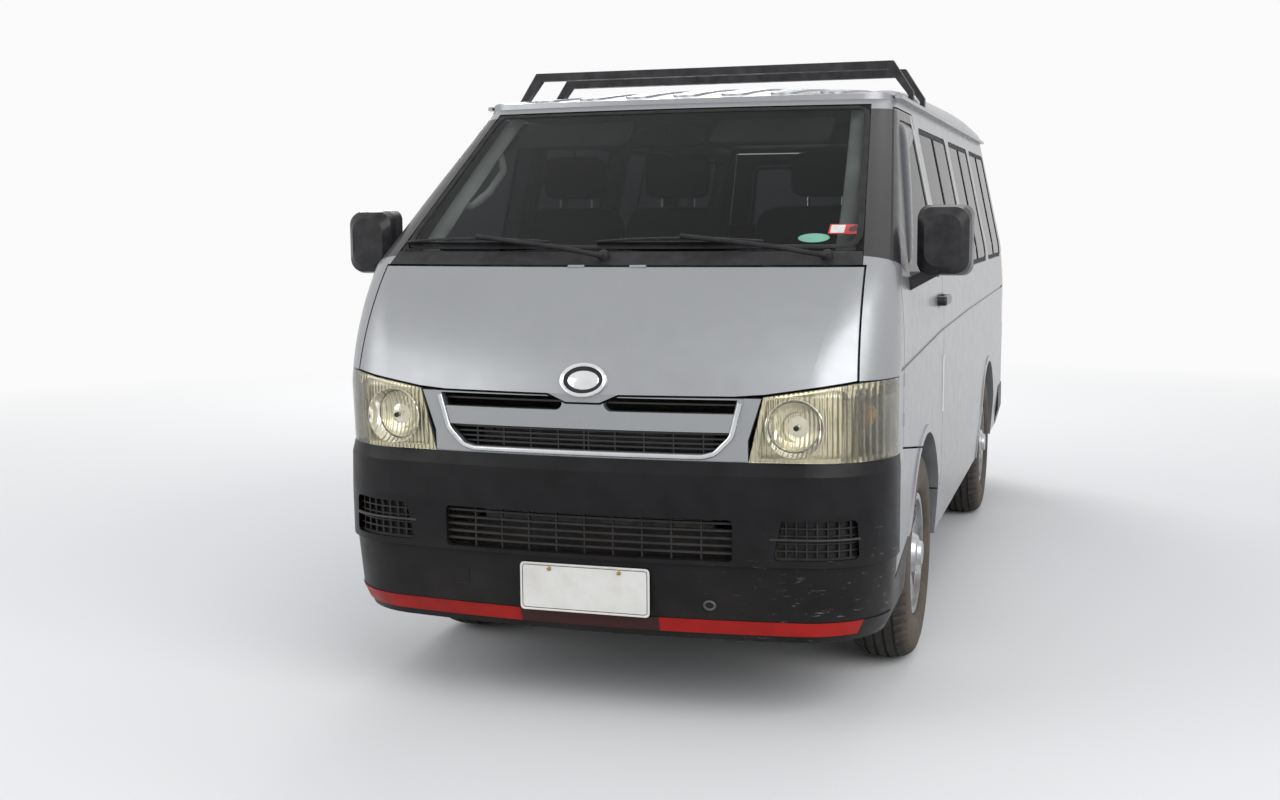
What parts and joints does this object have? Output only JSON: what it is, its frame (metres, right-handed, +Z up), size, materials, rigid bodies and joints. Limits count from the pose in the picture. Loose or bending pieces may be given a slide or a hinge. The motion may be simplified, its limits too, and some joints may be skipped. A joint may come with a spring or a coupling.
{
  "type": "passenger van",
  "caption": "Semi cab over passenger van with hinged front doors, a sliding side door, lifting bonnet and tailgate, steered front wheels and a roof rack.",
  "frame": {"origin": "on the floor under the middle of the whole van", "axes": "+X to the van's left, +Y to its rear, +Z up"},
  "size_m": [2.032, 4.6948, 1.9894],
  "materials": {
    "body_paint": "gloss",
    "grille_finish": "gloss",
    "underbody": "gloss",
    "black_plastic": "matte",
    "glass": "polished",
    "lamp_body": "polished",
    "lamp_lens": "polished",
    "tail_lens": "matte",
    "lip_paint": "gloss",
    "rack_paint": "gloss",
    "cabin_plastic": "matte",
    "seat_cover": "matte",
    "cast_metal": "matte",
    "exhaust_steel": "matte",
    "flap_rubber": "matte",
    "tyre_rubber": "matte",
    "wheel_finish": "gloss"
  },
  "bodies": {
    "root": {"side_left": "body_paint", "side_right": "body_paint", "roof": "body_paint", "sliding_door": "body_paint", "grille": "grille_finish", "floor": "underbody", "underframe": "underbody", "cowl_panel": "black_plastic", "windscreen": "glass", "side_glass": "glass", "headlamps": "lamp_body", "headlamp_lenses": "lamp_lens", "tail_lamps": "tail_lens", "front_bumper": "black_plastic", "bumper_grille": "black_plastic", "bumper_lip": "lip_paint", "rear_bumper": "black_plastic", "wipers": "black_plastic", "roof_rack": "rack_paint", "dashboard": "cabin_plastic", "front_seats": "seat_cover", "rear_seats": "seat_cover", "engine": "cast_metal", "radiator": "cast_metal", "fuel_tank": "underbody", "exhaust": "exhaust_steel", "prop_shaft": "underbody", "rear_axle": "underbody", "front_suspension": "underbody", "mud_flaps": "flap_rubber", "spare_wheel": "tyre_rubber"},
    "front_door_left": {"front_door_left": "body_paint", "door_glass_left": "glass", "mirror_left": "black_plastic"},
    "front_door_right": {"front_door_right": "body_paint", "door_glass_right": "glass", "mirror_right": "black_plastic"},
    "bonnet": {"bonnet": "body_paint"},
    "tailgate": {"tailgate": "body_paint", "tailgate_glass": "glass"},
    "steering_wheel": {"steering_wheel": "cabin_plastic"},
    "knuckle_left": {"knuckle_left": "cast_metal"},
    "knuckle_right": {"knuckle_right": "cast_metal"},
    "wheel_front_left": {"tyre_front_left": "tyre_rubber", "rim_front_left": "wheel_finish"},
    "wheel_front_right": {"tyre_front_right": "tyre_rubber", "rim_front_right": "wheel_finish"},
    "wheel_rear_left": {"tyre_rear_left": "tyre_rubber", "rim_rear_left": "wheel_finish"},
    "wheel_rear_right": {"tyre_rear_right": "tyre_rubber", "rim_rear_right": "wheel_finish"}
  },
  "joints": [
    {"name": "door_left_hinge", "type": "hinge", "parent": "root", "child": "front_door_left", "pos_m": [0.8465, -1.9495, 1], "axis": [0, 0, -1], "range_deg": [0, 68]},
    {"name": "door_right_hinge", "type": "hinge", "parent": "root", "child": "front_door_right", "pos_m": [-0.8465, -1.9495, 1], "axis": [0, 0, 1], "range_deg": [0, 68]},
    {"name": "bonnet_hinge", "type": "hinge", "parent": "root", "child": "bonnet", "pos_m": [0, -2.1035, 1.309], "axis": [-1, 0, 0], "range_deg": [0, 50]},
    {"name": "tailgate_hinge", "type": "hinge", "parent": "root", "child": "tailgate", "pos_m": [0, 2.2175, 1.808], "axis": [1, 0, 0], "range_deg": [0, 82]},
    {"name": "steer_left", "type": "hinge", "parent": "root", "child": "knuckle_left", "pos_m": [0.655, -1.3625, 0.345], "axis": [0, 0, 1], "range_deg": [-34, 34]},
    {"name": "steer_right", "type": "hinge", "parent": "root", "child": "knuckle_right", "pos_m": [-0.655, -1.3625, 0.345], "axis": [0, 0, 1], "range_deg": [-34, 34]},
    {"name": "steering_wheel_turn", "type": "hinge", "parent": "root", "child": "steering_wheel", "pos_m": [0.375, -1.5475, 1.19], "axis": [0, 0.788, 0.6157], "range_deg": [-612, 612]},
    {"name": "wheel_front_left_spin", "type": "hinge", "parent": "knuckle_left", "child": "wheel_front_left", "pos_m": [0.735, -1.3625, 0.345], "axis": [1, 0, 0], "continuous": true},
    {"name": "wheel_front_right_spin", "type": "hinge", "parent": "knuckle_right", "child": "wheel_front_right", "pos_m": [-0.735, -1.3625, 0.345], "axis": [1, 0, 0], "continuous": true},
    {"name": "wheel_rear_left_spin", "type": "hinge", "parent": "root", "child": "wheel_rear_left", "pos_m": [0.735, 1.2075, 0.345], "axis": [1, 0, 0], "continuous": true},
    {"name": "wheel_rear_right_spin", "type": "hinge", "parent": "root", "child": "wheel_rear_right", "pos_m": [-0.735, 1.2075, 0.345], "axis": [1, 0, 0], "continuous": true}
  ],
  "couplings": [
    {"joint": "steer_right", "follows": "steer_left", "ratio": 1},
    {"joint": "steering_wheel_turn", "follows": "steer_left", "ratio": 18}
  ]
}
